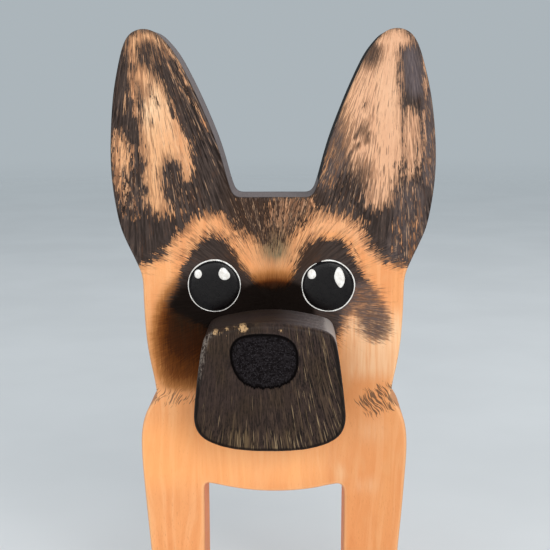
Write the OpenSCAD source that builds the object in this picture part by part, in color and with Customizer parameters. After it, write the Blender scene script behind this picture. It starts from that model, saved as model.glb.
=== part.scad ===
// Eyeglasses display stand: a dog-shaped wooden board with a snout block
// that carries the bridge of a pair of glasses.
//
// Frame: +Z up, +X to the right seen from the front, front faces -Y.
// The origin is on the table, midway between the left and right sides and
// midway between the tips of the paws and the back of the board.

/* [Board] */
// Width of the board across the ears
board_w = 89; // [80:1:98]
// Height of the stand from the table to the ear tips
stand_h = 175; // [160:1:190]
// Thickness of the board
board_t = 19; // [15:0.5:25]

// Sideways lean of the hand-sawn ear tips
ear_lean = -0.7; // [-1:0.1:1]

/* [Snout] */
// How far the snout block stands out from the board
snout_d = 19; // [14:0.5:24]
// Sideways offset of the hand-placed snout block
snout_shift = -0.7; // [-1.5:0.1:1.5]
// Width of the snout block at its widest, near the bottom
snout_w = 40.4; // [36:0.2:44]

/* [Paws] */
// Width of each paw block
paw_w = 18; // [16:0.5:19]
// Length of each paw block in front of the board
paw_l = 21; // [16:0.5:28]
// Height of each paw block
paw_h = 15; // [12:0.5:18]
// Radius of the two toe grooves in each paw
toe_r = 1.1; // [0.6:0.1:1.6]

/* [Joints] */
// Diameter of the two dowels that hold the snout block
snout_dowel_d = 8; // [5:0.5:8]
// Diameter of the dowel in each paw
paw_dowel_d = 6; // [4:0.5:6]
// Glue clearance round each dowel, on the radius
glue_gap = 0.05; // [0.02:0.01:0.1]
// Depth of each blind dowel hole
hole_depth = 10; // [7:0.5:11]

/* [Felt pads] */
// Diameter of the felt pads under the feet
pad_d = 12; // [8:0.5:13]
// Thickness of the felt pads
pad_t = 1.5; // [1:0.1:3]

/* [Detail] */
// Straight steps in each bend of the outlines
steps = 4; // [2:1:8]

/* [Hidden] */
$fn = 64;

// The outline is laid out for a board 89 mm wide whose ear tips are 175 mm
// above the table, then scaled to the two driving sizes.
sx = board_w / 89;
sz = (stand_h - pad_t) / 173.5;
function lean(z) = z > 138 ? ear_lean * pow((z - 138) / 37, 1.5) : 0;
function fit(p) = [(p[0] + lean(p[1])) * sx, pad_t + (p[1] - 1.5) * sz];

// Depth layout: paw tips at the front, back of the board behind.
y_back = (board_t + max(snout_d, paw_l)) / 2;
y_front = y_back - board_t;
y_snout = y_front - snout_d;
y_paw = y_front - paw_l;

// A smooth closed curve from a ring of guide points: each guide point pulls
// a parabola that starts and ends midway along the two sides that meet there.
function bend(a, b, c, t) =
    let (p = (a + b) / 2, q = (b + c) / 2)
    p * (1 - t) * (1 - t) + b * 2 * t * (1 - t) + q * t * t;
function smooth_ring(g, n) =
    let (m = len(g))
    [for (i = [0 : m - 1]) for (k = [0 : n - 1])
        bend(g[(i + m - 1) % m], g[i], g[(i + 1) % m], k / n)];

// Right half of a symmetric ring, from the bottom centre to the top centre,
// is mirrored to make the whole ring; the right side may differ in places.
function mirror_ring(h, right) =
    concat(right, [for (i = [len(h) - 2 : -1 : 1]) [-h[i][0], h[i][1]]]);

// Right half of the board's outline.
board_half = [
    // belly, bowed down a little, and the inner corner of the leg
    [0, 44.9], [6, 45.2], [12, 46.0], [17, 47.1], [20, 47.5], [20, 43.5],
    // inner side of the leg and the foot
    [20, 24], [20, 3], [20, 1.5], [21.5, 1.5], [27.5, 1.5], [33, 1.5], [34.5, 1.5],
    // outer side of the leg up to the shoulder
    [34.6, 3], [34.9, 14], [35.6, 27], [36.5, 37], [37.3, 48], [37.8, 56], [37.8, 61],
    [37.3, 65], [36.2, 68.5], [34.8, 70.8],
    // tight notch where the shoulder meets the neck
    [33.2, 72.6], [33.2, 74.4],
    // cheek
    [33.7, 78], [34.7, 82.5], [35.6, 88], [36.1, 95], [36.3, 102], [36.4, 107.4],
    // outer edge of the ear
    [38, 111.4], [40.8, 117.4], [42.4, 121.5], [43.5, 127], [44.3, 133], [44.6, 138.5],
    [44.5, 144], [44.1, 150], [43.5, 155.5], [42.7, 160.3], [41.4, 166], [39.9, 171],
    // tip
    [38.1, 173.8], [35.7, 175], [33.2, 175.1], [30.7, 174.1], [28.3, 171.6],
    // inner edge of the ear
    [26, 168.6], [23.4, 163.6], [20.8, 158], [18.4, 152.3], [16.2, 146.8], [14.5, 141.6],
    [13.2, 136.8], [12.4, 133.7],
    // corner and ledge between the ears
    [10.9, 129.5], [7, 129.5], [0, 129.5]
];

// On the right the corner of the gap between the legs is rounder.
board_right = concat(
    [for (i = [0 : 2]) board_half[i]],
    [[15.4, 46.8], [20.1, 47.6], [20.1, 40.5]],
    [for (i = [6 : len(board_half) - 1]) board_half[i]]);

// Right half of the snout's outline, with a crowned top for the bridge of
// the glasses.
snout_half = [
    [0, 62.8], [5, 62.9], [10, 63.4], [15, 64.7], [18.9, 67.0], [20.5, 70.8], [20.1, 76],
    [19.4, 82], [18.6, 88], [17.9, 92], [17, 94.9], [14.4, 96.3], [9, 97.4], [4, 98.2], [0, 98.3]
];

function board_ring() = [for (p = smooth_ring(mirror_ring(board_half, board_right), steps)) fit(p)];
function snout_ring() = [for (p = smooth_ring(mirror_ring(snout_half, snout_half), steps))
    [p[0] * snout_w / 40.4 + snout_shift, fit(p)[1]]];

// Dowel places
snout_dowel_z = [fit([0, 73.5])[1], fit([0, 88.5])[1]];
leg_x = 27.25 * sx;
paw_dowel_z = pad_t + paw_h * 0.55;

// A vertical outline drawn in X and Z, as a plate from y0 to y1.
module plate(y0, y1) {
    translate([0, y1, 0]) rotate([90, 0, 0]) linear_extrude(height = y1 - y0) children();
}

// A round peg or hole along Y.
module peg(x, z, y0, y1, d) {
    translate([x, y0, z]) rotate([-90, 0, 0]) cylinder(h = y1 - y0, d = d);
}

module dog_board() {
    color([0.93, 0.66, 0.42])
    difference() {
        plate(y_front, y_back) polygon(board_ring());
        for (z = snout_dowel_z)
            peg(snout_shift, z, y_front - 1, y_front + hole_depth, snout_dowel_d + 2 * glue_gap);
        for (s = [-1, 1])
            peg(s * leg_x, paw_dowel_z, y_front - 1, y_front + hole_depth, paw_dowel_d + 2 * glue_gap);
    }
}

module snout_block() {
    color([0.17, 0.15, 0.14])
    difference() {
        plate(y_snout, y_front) polygon(snout_ring());
        for (z = snout_dowel_z)
            peg(snout_shift, z, y_front - hole_depth, y_front + 1, snout_dowel_d + 2 * glue_gap);
    }
}

// Each dowel reaches the bottom of the hole in its block and stops half a
// millimetre short of the bottom of the hole in the board.
module snout_dowels() {
    color([0.84, 0.68, 0.47])
    for (z = snout_dowel_z)
        peg(snout_shift, z, y_front - hole_depth, y_front + hole_depth - 0.5, snout_dowel_d);
}

module paw_dowels() {
    color([0.84, 0.68, 0.47])
    for (s = [-1, 1])
        peg(s * leg_x, paw_dowel_z, y_front - hole_depth, y_front + hole_depth - 0.5, paw_dowel_d);
}

// A paw seen from above: square at the back, round at the front.
module paw_plan() {
    r = paw_w * 0.36;
    union() {
        translate([-paw_w / 2, y_paw + r]) square([paw_w, paw_l - r]);
        translate([-paw_w / 2 + r, y_paw]) square([paw_w - 2 * r, paw_l]);
        for (s = [-1, 1]) translate([s * (paw_w / 2 - r), y_paw + r]) circle(r = r);
    }
}

// A paw seen from the side, drawn in Y and Z: the top rolls over to the toes.
module paw_side() {
    r = paw_h * 0.6;
    union() {
        translate([y_paw, pad_t]) square([paw_l, paw_h - r]);
        translate([y_paw + r, pad_t]) square([paw_l - r, paw_h]);
        translate([y_paw + r, pad_t + paw_h - r]) circle(r = r);
    }
}

module paw(s) {
    color([0.90, 0.62, 0.38])
    difference() {
        translate([s * leg_x, 0, 0]) intersection() {
            translate([0, 0, pad_t]) linear_extrude(height = paw_h) paw_plan();
            rotate([90, 0, 90]) translate([0, 0, -paw_w]) linear_extrude(height = 2 * paw_w) paw_side();
        }
        // two toe grooves
        for (t = [-1, 1])
            translate([s * leg_x + t * paw_w * 0.165, y_paw, pad_t - 1])
                cylinder(h = paw_h + 2, r = toe_r);
        peg(s * leg_x, paw_dowel_z, y_front - hole_depth, y_front + 1, paw_dowel_d + 2 * glue_gap);
    }
}

module left_paw() { paw(-1); }
module right_paw() { paw(1); }

// One felt pad under each leg and one under each paw.
module felt_pads() {
    color([0.30, 0.20, 0.14])
    for (s = [-1, 1]) for (y = [(y_front + y_back) / 2, (y_front + y_paw) / 2])
        translate([s * leg_x, y, 0]) cylinder(h = pad_t, d = pad_d);
}

dog_board();
snout_block();
snout_dowels();
left_paw();
right_paw();
paw_dowels();
felt_pads();
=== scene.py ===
import math
import bpy
import bmesh
import numpy as np
from mathutils import Matrix, Vector, geometry


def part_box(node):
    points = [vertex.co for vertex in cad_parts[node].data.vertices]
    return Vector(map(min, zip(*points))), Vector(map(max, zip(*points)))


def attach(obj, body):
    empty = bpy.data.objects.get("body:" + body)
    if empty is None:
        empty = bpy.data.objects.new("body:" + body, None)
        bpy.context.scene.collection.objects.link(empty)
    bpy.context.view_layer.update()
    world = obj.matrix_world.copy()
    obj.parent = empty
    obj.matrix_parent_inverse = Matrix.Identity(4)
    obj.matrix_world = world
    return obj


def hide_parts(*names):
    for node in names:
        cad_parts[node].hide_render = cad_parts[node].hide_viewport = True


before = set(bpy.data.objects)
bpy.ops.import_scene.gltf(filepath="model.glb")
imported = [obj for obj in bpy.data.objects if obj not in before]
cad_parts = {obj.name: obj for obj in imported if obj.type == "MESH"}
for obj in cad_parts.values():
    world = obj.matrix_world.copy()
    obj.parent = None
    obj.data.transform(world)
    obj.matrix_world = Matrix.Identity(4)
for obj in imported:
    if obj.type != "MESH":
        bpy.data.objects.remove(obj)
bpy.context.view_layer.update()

MM = 0.001
rng = np.random.RandomState(7)

# ------------------------------------------------------------------ places
def box_mm(node):
    a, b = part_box(node)
    return [c * 1000 for c in a], [c * 1000 for c in b]

bd_lo, bd_hi = box_mm("dog_board")
sn_lo, sn_hi = box_mm("snout_block")
pl_lo, pl_hi = box_mm("left_paw")
pr_lo, pr_hi = box_mm("right_paw")
fp_lo, fp_hi = box_mm("felt_pads")
Y_FRONT, Y_BACK = bd_lo[1], bd_hi[1]
Y_SNOUT = sn_lo[1]
PAD_T = fp_hi[2]
TOP = bd_hi[2]
SNOUT_X = (sn_lo[0] + sn_hi[0]) / 2

# ------------------------------------------------------------------ outlines
def bend_ring(g, n):
    """Closed quadratic spline: each guide point pulls a parabola between the middles of its two sides."""
    g = np.array(g, float)
    a, c = np.roll(g, 1, 0), np.roll(g, -1, 0)
    p, q = (a + g) / 2, (g + c) / 2
    t = (np.arange(n) / n)[None, :, None]
    r = p[:, None] * (1 - t) ** 2 + g[:, None] * 2 * t * (1 - t) + q[:, None] * t * t
    return r.reshape(-1, 2)


def mirror_ring(h, right=None):
    return list(right or h) + [(-x, z) for x, z in h[-2:0:-1]]


def lean(z):
    return -0.7 * ((z - 138) / 37) ** 1.5 if z > 138 else 0.0


BOARD_HALF = [
    (0, 44.9), (6, 45.2), (12, 46.0), (17, 47.1), (20, 47.5), (20, 43.5),
    (20, 24), (20, 4.5), (20, 1.5), (23, 1.5), (27.25, 1.5), (31.5, 1.5), (34.5, 1.5),
    (34.62, 4.5), (34.9, 14), (35.6, 27), (36.5, 37), (37.3, 48), (37.8, 56), (37.8, 61),
    (37.3, 65), (36.2, 68.5), (34.8, 70.8),
    (33.2, 72.6), (33.2, 74.4),
    (33.7, 78), (34.7, 82.5), (35.6, 88), (36.1, 95), (36.3, 102), (36.4, 107.4),
    (38, 111.4), (40.8, 117.4), (42.4, 121.5), (43.5, 127), (44.3, 133), (44.6, 138.5),
    (44.5, 144), (44.1, 150), (43.5, 155.5), (42.7, 160.3), (41.4, 166), (39.9, 171),
    (38.1, 173.8), (35.7, 175), (33.2, 175.1), (30.7, 174.1), (28.3, 171.6),
    (26, 168.6), (23.4, 163.6), (20.8, 158), (18.4, 152.3), (16.2, 146.8), (14.5, 141.6),
    (13.2, 136.8), (12.4, 133.7),
    (10.9, 129.5), (7, 129.5), (0, 129.5),
]
# the right side differs in the corner of the gap between the legs, which is rounder
BOARD_RIGHT = BOARD_HALF[:3] + [(15.4, 46.8), (20.1, 47.6), (20.1, 40.5)] + BOARD_HALF[6:]
SNOUT_HALF = [
    (0, 62.8), (5, 62.9), (10, 63.4), (15, 64.7), (18.9, 67.0), (20.5, 70.8), (20.1, 76),
    (19.4, 82), (18.6, 88), (17.9, 92), (17, 94.9), (14.4, 96.3), (9, 97.4), (4, 98.2), (0, 98.3),
]


def resample(ring, step):
    """Even spacing along a closed ring."""
    r = np.vstack([ring, ring[:1]])
    d = np.hypot(*np.diff(r, axis=0).T)
    s = np.concatenate([[0], np.cumsum(d)])
    n = int(round(s[-1] / step))
    t = np.arange(n) * s[-1] / n
    return np.stack([np.interp(t, s, r[:, 0]), np.interp(t, s, r[:, 1])], 1)


def ccw(r):
    a = np.sum(r[:, 0] * np.roll(r[:, 1], -1) - np.roll(r[:, 0], -1) * r[:, 1])
    return r if a > 0 else r[::-1].copy()


board_ring = bend_ring(mirror_ring(BOARD_HALF, BOARD_RIGHT), 24)
board_ring[:, 0] += [lean(z) for z in board_ring[:, 1]]
board_ring = ccw(resample(board_ring, 0.6))
snout_ring = ccw(resample(bend_ring(mirror_ring(SNOUT_HALF), 24) + [SNOUT_X, 0], 0.45))


def sdf(P, poly):
    """Signed distance to a closed polygon, positive inside, in mm."""
    P = np.asarray(P, float)
    A = np.asarray(poly, float)
    B = np.roll(A, -1, 0)
    out = np.empty(len(P))
    for i in range(0, len(P), 2000):
        p = P[i:i + 2000, None]
        ab = (B - A)[None]
        ap = p - A[None]
        t = np.clip((ap * ab).sum(2) / np.maximum((ab ** 2).sum(2), 1e-12), 0, 1)
        d = np.sqrt(((ap - ab * t[..., None]) ** 2).sum(2)).min(1)
        y0, y1 = A[None, :, 1], B[None, :, 1]
        x0, x1 = A[None, :, 0], B[None, :, 0]
        py, px = p[..., 1], p[..., 0]
        hit = ((y0 > py) != (y1 > py)) & (px < (x1 - x0) * (py - y0) / np.where(y1 == y0, 1e-9, y1 - y0) + x0)
        out[i:i + 2000] = np.where(hit.sum(1) % 2 == 1, d, -d)
    return out


def seg_dist(P, a, b):
    P, a, b = np.asarray(P, float), np.array(a, float), np.array(b, float)
    ab = b - a
    t = np.clip(((P - a) @ ab) / (ab @ ab), 0, 1)
    return np.hypot(*(P - a - t[:, None] * ab).T)


def wob(s, seed, waves=7):
    """Smooth random wave round a closed ring, s from 0 to 1, about -1 to 1."""
    r = np.random.RandomState(seed)
    v = np.zeros_like(s)
    for k in range(1, waves + 1):
        f = r.randint(2, 60)
        v += math.sqrt(1 / waves) * np.sin(2 * math.pi * (f * s + r.rand()))
    return v


# ------------------------------------------------------------------ plate builder
FACE, EASE, WALL, BACK_EASE, BACK, HOLE = 0, 1, 2, 3, 4, 5


def fill(ring, holes, step):
    """Triangles for the flat inside a ring, with a fine hexagonal grid of inner points. Returns new points and triangles that count ring, then holes, then new points."""
    lo, hi = ring.min(0), ring.max(0)
    rows = np.arange(lo[1], hi[1], step * 0.866)
    pts = np.array([(x + (step / 2 if j % 2 else 0), z) for j, z in enumerate(rows) for x in np.arange(lo[0], hi[0], step)])
    pts = pts[sdf(pts, ring) > step * 0.55]
    for h in holes:
        c, r = h.mean(0), np.hypot(*(h - h.mean(0)).T).max()
        pts = pts[np.hypot(*(pts - c).T) > r + step * 0.5]
    loops = [ring] + holes
    allp = np.vstack(loops + [pts])
    edges, k = [], 0
    for l in loops:
        n = len(l)
        edges += [(k + i, k + (i + 1) % n) for i in range(n)]
        k += n
    vc, _, fc, ov, _, _ = geometry.delaunay_2d_cdt([Vector(p) for p in allp], edges, [], 0, 1e-7)
    vmap = np.array([o[0] if o else -1 for o in ov])
    tri = np.array([list(f) for f in fc if len(f) == 3])
    V = np.array([tuple(v) for v in vc])
    cen = V[tri].mean(1)
    ok = sdf(cen, ring) > 0
    for h in holes:
        ok &= sdf(cen, h) < 0
    tri = vmap[tri[ok]]
    tri = tri[(tri >= 0).all(1)]
    a, b, c = allp[tri[:, 0]], allp[tri[:, 1]], allp[tri[:, 2]]
    area = (b[:, 0] - a[:, 0]) * (c[:, 1] - a[:, 1]) - (b[:, 1] - a[:, 1]) * (c[:, 0] - a[:, 0])
    tri[area < 0] = tri[area < 0][:, ::-1]
    return pts, tri


def plate(ring, w0, w1, r0, r1, step0, step1, wall_step, seed, holes=(), hole_depth=0.0, ease_steps=6, wobble=0.05, uneven=0.12):
    """A slab with eased edges. ring is its outline in (u, v), counter-clockwise; w0 is the face and w1 the back.
    r0 and r1 ease the face's and the back's edges. Returns vertices (u, v, w), faces and a code and an ease value for each vertex."""
    n = len(ring)
    s = np.arange(n) / n
    tan = np.roll(ring, -1, 0) - np.roll(ring, 1, 0)
    tan /= np.hypot(*tan.T)[:, None]
    inward = np.stack([-tan[:, 1], tan[:, 0]], 1)
    vary0 = r0 * (1 + uneven * wob(s, seed))
    vary1 = r1 * (1 + uneven * wob(s, seed + 1))
    sgn = 1.0 if w1 > w0 else -1.0
    rows, code, ease = [], [], []

    def add(inset, w, c, e):
        p = ring + inward * inset[:, None]
        rows.append(np.column_stack([p, np.full(n, 0.0) + w]))
        code.append(np.full(n, c))
        ease.append(np.full(n, 0.0) + e)

    for k in range(ease_steps + 1):
        a = math.pi / 2 * (1 - k / ease_steps)
        add(vary0 * (1 - math.cos(a)), w0 + sgn * vary0 * (1 - math.sin(a)), EASE, math.sin(2 * a) * 0.9 + 0.1)
    span = abs(w1 - w0) - r0 - r1
    m = max(2, int(round(span / wall_step)))
    for k in range(1, m):
        t = k / m
        inset = wobble * np.sin(math.pi * t) * (0.6 + 0.4 * wob(s, seed + 2 + k % 3))
        add(np.maximum(inset, 0), w0 + sgn * (r0 + span * t), WALL, 0)
    for k in range(ease_steps + 1):
        a = math.pi / 2 * k / ease_steps
        add(vary1 * (1 - math.cos(a)), w1 - sgn * vary1 * (1 - math.sin(a)), BACK_EASE, math.sin(2 * a) * 0.9 + 0.1)
    V = [np.vstack(rows)]
    C = [np.concatenate(code)]
    E = [np.concatenate(ease)]
    F = []
    nr = len(rows)
    flip = sgn < 0
    for j in range(nr - 1):
        i = np.arange(n)
        i2 = (i + 1) % n
        q = np.stack([j * n + i, j * n + i2, (j + 1) * n + i2, (j + 1) * n + i], 1)
        F += (q if not flip else q[:, ::-1]).tolist()
    count = nr * n
    # face
    hl = []
    for (cx, cv, r) in holes:
        a = np.arange(40) * 2 * math.pi / 40
        hl.append(np.stack([cx + r * np.cos(a), cv + r * np.sin(a)], 1))
    inner = rows[0][:, :2]
    pts, tri = fill(inner, hl, step0)
    idx = list(range(n))
    for h in hl:
        V.append(np.column_stack([h, np.full(len(h), w0)]))
        C.append(np.full(len(h), FACE)); E.append(np.zeros(len(h)))
        idx += list(range(count, count + len(h)))
        top = np.arange(count, count + len(h))
        count += len(h)
        V.append(np.column_stack([h, np.full(len(h), w0 + sgn * hole_depth)]))
        C.append(np.full(len(h), HOLE)); E.append(np.zeros(len(h)))
        bot = np.arange(count, count + len(h))
        count += len(h)
        for i in range(len(h)):
            i2 = (i + 1) % len(h)
            q = [int(top[i2]), int(top[i]), int(bot[i]), int(bot[i2])]
            F.append(q if not flip else q[::-1])
        cap = [int(b) for b in bot]
        F.append(cap[::-1] if not flip else cap)
    idx += list(range(count, count + len(pts)))
    V.append(np.column_stack([pts, np.full(len(pts), w0)]))
    C.append(np.full(len(pts), FACE)); E.append(np.zeros(len(pts)))
    count += len(pts)
    idx = np.array(idx)
    t = idx[tri]
    F += (t[:, ::-1] if not flip else t).tolist()
    # back
    last = rows[-1][:, :2]
    pts, tri = fill(last, [], step1)
    idx = np.concatenate([np.arange((nr - 1) * n, nr * n), np.arange(count, count + len(pts))])
    V.append(np.column_stack([pts, np.full(len(pts), w1)]))
    C.append(np.full(len(pts), BACK)); E.append(np.zeros(len(pts)))
    t = idx[tri]
    F += (t if not flip else t[:, ::-1]).tolist()
    return np.vstack(V), F, np.concatenate(C), np.concatenate(E)


def make(name, verts_mm, faces, attrs=None, smooth=True):
    me = bpy.data.meshes.new(name)
    me.from_pydata((np.asarray(verts_mm) * MM).tolist(), [], faces)
    me.validate()
    me.update()
    for k, v in (attrs or {}).items():
        a = me.attributes.new(k, "FLOAT", "POINT")
        a.data.foreach_set("value", np.asarray(v, dtype=np.float32))
    ob = bpy.data.objects.new(name, me)
    bpy.context.scene.collection.objects.link(ob)
    bm = bmesh.new()
    bm.from_mesh(me)
    bmesh.ops.recalc_face_normals(bm, faces=bm.faces)
    bm.to_mesh(me)
    bm.free()
    if smooth:
        me.polygons.foreach_set("use_smooth", [True] * len(me.polygons))
    return ob


# ------------------------------------------------------------------ node helper
def lin(r, g, b, k=1.0):
    def f(c):
        c /= 255
        return c / 12.92 if c <= 0.04045 else ((c + 0.055) / 1.055) ** 2.4
    return (f(r) * k, f(g) * k, f(b) * k, 1.0)


class Mat:
    def __init__(self, name):
        self.m = bpy.data.materials.new(name)
        self.m.use_nodes = True
        self.t = self.m.node_tree
        self.t.nodes.clear()
        self.out = self.t.nodes.new("ShaderNodeOutputMaterial")
        self.coord = None

    def put(self, sock, v):
        if v is None:
            return
        if hasattr(v, "is_output"):
            self.t.links.new(v, sock)
        else:
            sock.default_value = v

    def node(self, kind, ins=None, **props):
        n = self.t.nodes.new(kind)
        for k, v in props.items():
            setattr(n, k, v)
        for k, v in (ins or {}).items():
            self.put(n.inputs[k], v)
        return n

    def math(self, op, a, b=None, c=None, clamp=False):
        n = self.t.nodes.new("ShaderNodeMath")
        n.operation = op
        n.use_clamp = clamp
        for i, v in enumerate((a, b, c)):
            self.put(n.inputs[i], v)
        return n.outputs[0]

    def add(self, a, b): return self.math("ADD", a, b)
    def sub(self, a, b): return self.math("SUBTRACT", a, b)
    def mul(self, a, b): return self.math("MULTIPLY", a, b)
    def mx(self, a, b): return self.math("MAXIMUM", a, b)
    def mn(self, a, b): return self.math("MINIMUM", a, b)

    def ramp(self, v, lo, hi, a=0.0, b=1.0, smooth=True):
        n = self.node("ShaderNodeMapRange", {"Value": v, "From Min": lo, "From Max": hi, "To Min": a, "To Max": b},
                      interpolation_type="SMOOTHSTEP" if smooth else "LINEAR")
        return n.outputs[0]

    def mix(self, f, a, b, blend="MIX"):
        n = self.t.nodes.new("ShaderNodeMix")
        n.data_type = "RGBA"
        n.blend_type = blend
        n.clamp_factor = True
        self.put(n.inputs[0], f)
        self.put(n.inputs[6], a)
        self.put(n.inputs[7], b)
        return n.outputs[2]

    def fmix(self, f, a, b):
        n = self.t.nodes.new("ShaderNodeMix")
        n.data_type = "FLOAT"
        n.clamp_factor = True
        self.put(n.inputs[0], f)
        self.put(n.inputs[2], a)
        self.put(n.inputs[3], b)
        return n.outputs[0]

    def attr(self, name):
        return self.node("ShaderNodeAttribute", attribute_name=name).outputs["Fac"]

    def xyz(self):
        """Object coordinates in mm, apart."""
        if self.coord is None:
            tc = self.t.nodes.new("ShaderNodeTexCoord")
            s = self.node("ShaderNodeVectorMath", {0: tc.outputs["Object"], 1: (1000, 1000, 1000)}, operation="MULTIPLY")
            p = self.node("ShaderNodeSeparateXYZ", {0: s.outputs[0]})
            self.coord = (p.outputs[0], p.outputs[1], p.outputs[2])
        return self.coord

    def vec(self, x, y, z):
        n = self.t.nodes.new("ShaderNodeCombineXYZ")
        for i, v in enumerate((x, y, z)):
            self.put(n.inputs[i], v)
        return n.outputs[0]

    def noise(self, v, detail=3.0, rough=0.5, scale=1.0, distort=0.0):
        n = self.node("ShaderNodeTexNoise", {"Vector": v, "Scale": scale, "Detail": detail, "Roughness": rough, "Distortion": distort})
        return n.outputs[0]

    def polar(self, px, pz, r0):
        """Distance from a pole and the turn round it, in mm at radius r0."""
        x, y, z = self.xyz()
        dx = self.sub(x, px)
        dz = self.sub(pz, z)
        d = self.math("SQRT", self.add(self.mul(dx, dx), self.mul(dz, dz)))
        a = self.math("ARCTAN2", dx, dz)
        return d, self.mul(a, r0)

    def finish(self, color, rough, bump_h=None, bump_mm=0.1, spec=0.4, coat=0.0, coat_rough=0.25, sheen=0.0, normal2=None):
        ins = {"Base Color": color, "Roughness": rough, "Specular IOR Level": spec, "Coat Weight": coat, "Coat Roughness": coat_rough, "Sheen Weight": sheen}
        b = self.node("ShaderNodeBsdfPrincipled", ins)
        if bump_h is not None:
            bp = self.node("ShaderNodeBump", {"Strength": 1.0, "Distance": bump_mm * MM, "Height": bump_h})
            self.t.links.new(bp.outputs[0], b.inputs["Normal"])
        self.t.links.new(b.outputs[0], self.out.inputs[0])
        return self.m

# ------------------------------------------------------------------ colours
W_HI, W_LO = lin(242, 168, 108, 0.86), lin(232, 150, 92, 0.86)      # stained pine
E_HI, E_LO = lin(238, 184, 138, 0.86), lin(214, 150, 104, 0.86)     # cooler in the ears
D_HI, D_LO = lin(82, 68, 62, 0.80), lin(30, 22, 19, 0.75)           # charcoal coat

# ------------------------------------------------------------------ paint plan, in mm across and up the front
def smooth(p, n=5):
    return bend_ring(p, n)


HEAD = [(-47, 110.5), (-37.5, 110.3), (-32.8, 112.8), (-31, 115.3), (-28.5, 118.4), (-25.5, 120.4), (-24, 122.6), (-20.5, 124.9),
        (-16.5, 125.7), (-13.2, 124.6), (-11.2, 121.8), (-8.5, 119.8), (-5.5, 119), (-3, 117), (0, 115.5), (3, 117.3), (5.2, 119.3),
        (7.5, 121.8), (10, 124.5), (12.5, 126.2), (16, 125.8), (19.5, 125.2), (23, 123.2), (25.2, 120.8), (26.3, 117.3), (28.3, 114.6),
        (31, 112), (36, 110.6), (47, 110), (47, 184), (0, 184), (-47, 184)]
EYE_L = [(-21, 116.5), (-19, 118.6), (-16.5, 119.3), (-13.5, 117.8), (-11.2, 115), (-9.6, 112), (-8, 109.3), (-6.3, 107.6), (-5, 105.4),
         (-3, 104.4), (0, 104.4), (0, 88), (-10, 90), (-20, 93), (-26, 96), (-29.4, 97.6), (-29.8, 99.6), (-29.0, 101.6),
         (-27.3, 105), (-26, 108.5), (-24.2, 112), (-22.7, 114.8)]
EYE_R = [(0, 104.4), (3, 104.4), (4.7, 106), (5.6, 108.8), (6.6, 111.4), (8.0, 114.6), (10.0, 117.3), (13, 118.4), (16, 118), (19, 118.2),
         (20.7, 116.5), (21.6, 113.8), (23.6, 110.6), (25.4, 107.8), (26.8, 105), (29.4, 101.2), (31.2, 97.4), (31.9, 94.0), (31.2, 91.0),
         (28.6, 89.6), (26.2, 91.2), (24.6, 94.6), (23.4, 98.0), (21.8, 98.6), (20.0, 95.6), (18.2, 92), (16.6, 86), (0, 84)]
TANS = [
    # left ear
    [(-35.4, 166.2), (-33.3, 165), (-31, 161.2), (-28.2, 156), (-25.6, 150.6), (-23, 146), (-21.8, 143), (-21.6, 138), (-22.6, 133.2),
     (-24.4, 134.2), (-26, 138.2), (-28.3, 140.6), (-30.2, 138.2), (-30, 134), (-28.6, 129.5), (-27, 125.4), (-28.6, 124.2), (-31, 125),
     (-34, 125), (-35.2, 128), (-36.2, 132), (-36.3, 138), (-36.2, 145), (-36, 152), (-35.3, 157.5), (-36.8, 160), (-38.4, 161.5), (-38, 164.5)],
    [(-37.9, 164), (-38.6, 160.5), (-39.5, 157.5), (-39.4, 154), (-39, 151.5), (-38.2, 154.5), (-37, 153), (-36.9, 157.5), (-36.4, 161)],
    [(-43.6, 147.5), (-41.5, 147), (-39.6, 145.4), (-38.3, 142), (-38.6, 138.3), (-40.4, 136.5), (-42.5, 134), (-43.8, 138), (-44.2, 142)],
    [(-43.4, 134), (-42, 129.6), (-40.2, 130.2), (-40.4, 134), (-42, 137)],
    [(-39.3, 169.5), (-39.0, 172.3), (-37, 174.4), (-34, 174.6), (-31, 173.3), (-29, 171.2), (-30, 169.5), (-32, 171.3), (-34.5, 172),
     (-36, 170.5), (-36.6, 167.5), (-37.0, 164.5), (-38.2, 166)],
    # right ear
    [(29, 173.6), (32, 175.6), (35.5, 174.8), (38, 171.8), (37, 170.2), (34.6, 170), (34, 166), (34.4, 160), (34.8, 154), (35.6, 148),
     (36, 142), (35.4, 136), (34.2, 131.5), (32.8, 128.3), (30.8, 126.6), (27.2, 126.3), (25.9, 128), (25.5, 133), (24.9, 136.8),
     (23.3, 136.5), (21.4, 138), (20.2, 140.5), (19.3, 143.8), (18.8, 147), (17.6, 150.3), (16.2, 152.3), (17.4, 155), (19.4, 159.6),
     (21.8, 164), (24, 167), (26.6, 165.2), (29, 167.3), (29.2, 169.8), (27.9, 170.6), (27.2, 172)],
    [(35.4, 154), (38, 154.2), (39.6, 151), (40, 145), (39.6, 138), (38.6, 134), (36.6, 134), (35.4, 140), (35.2, 147)],
]
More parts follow.
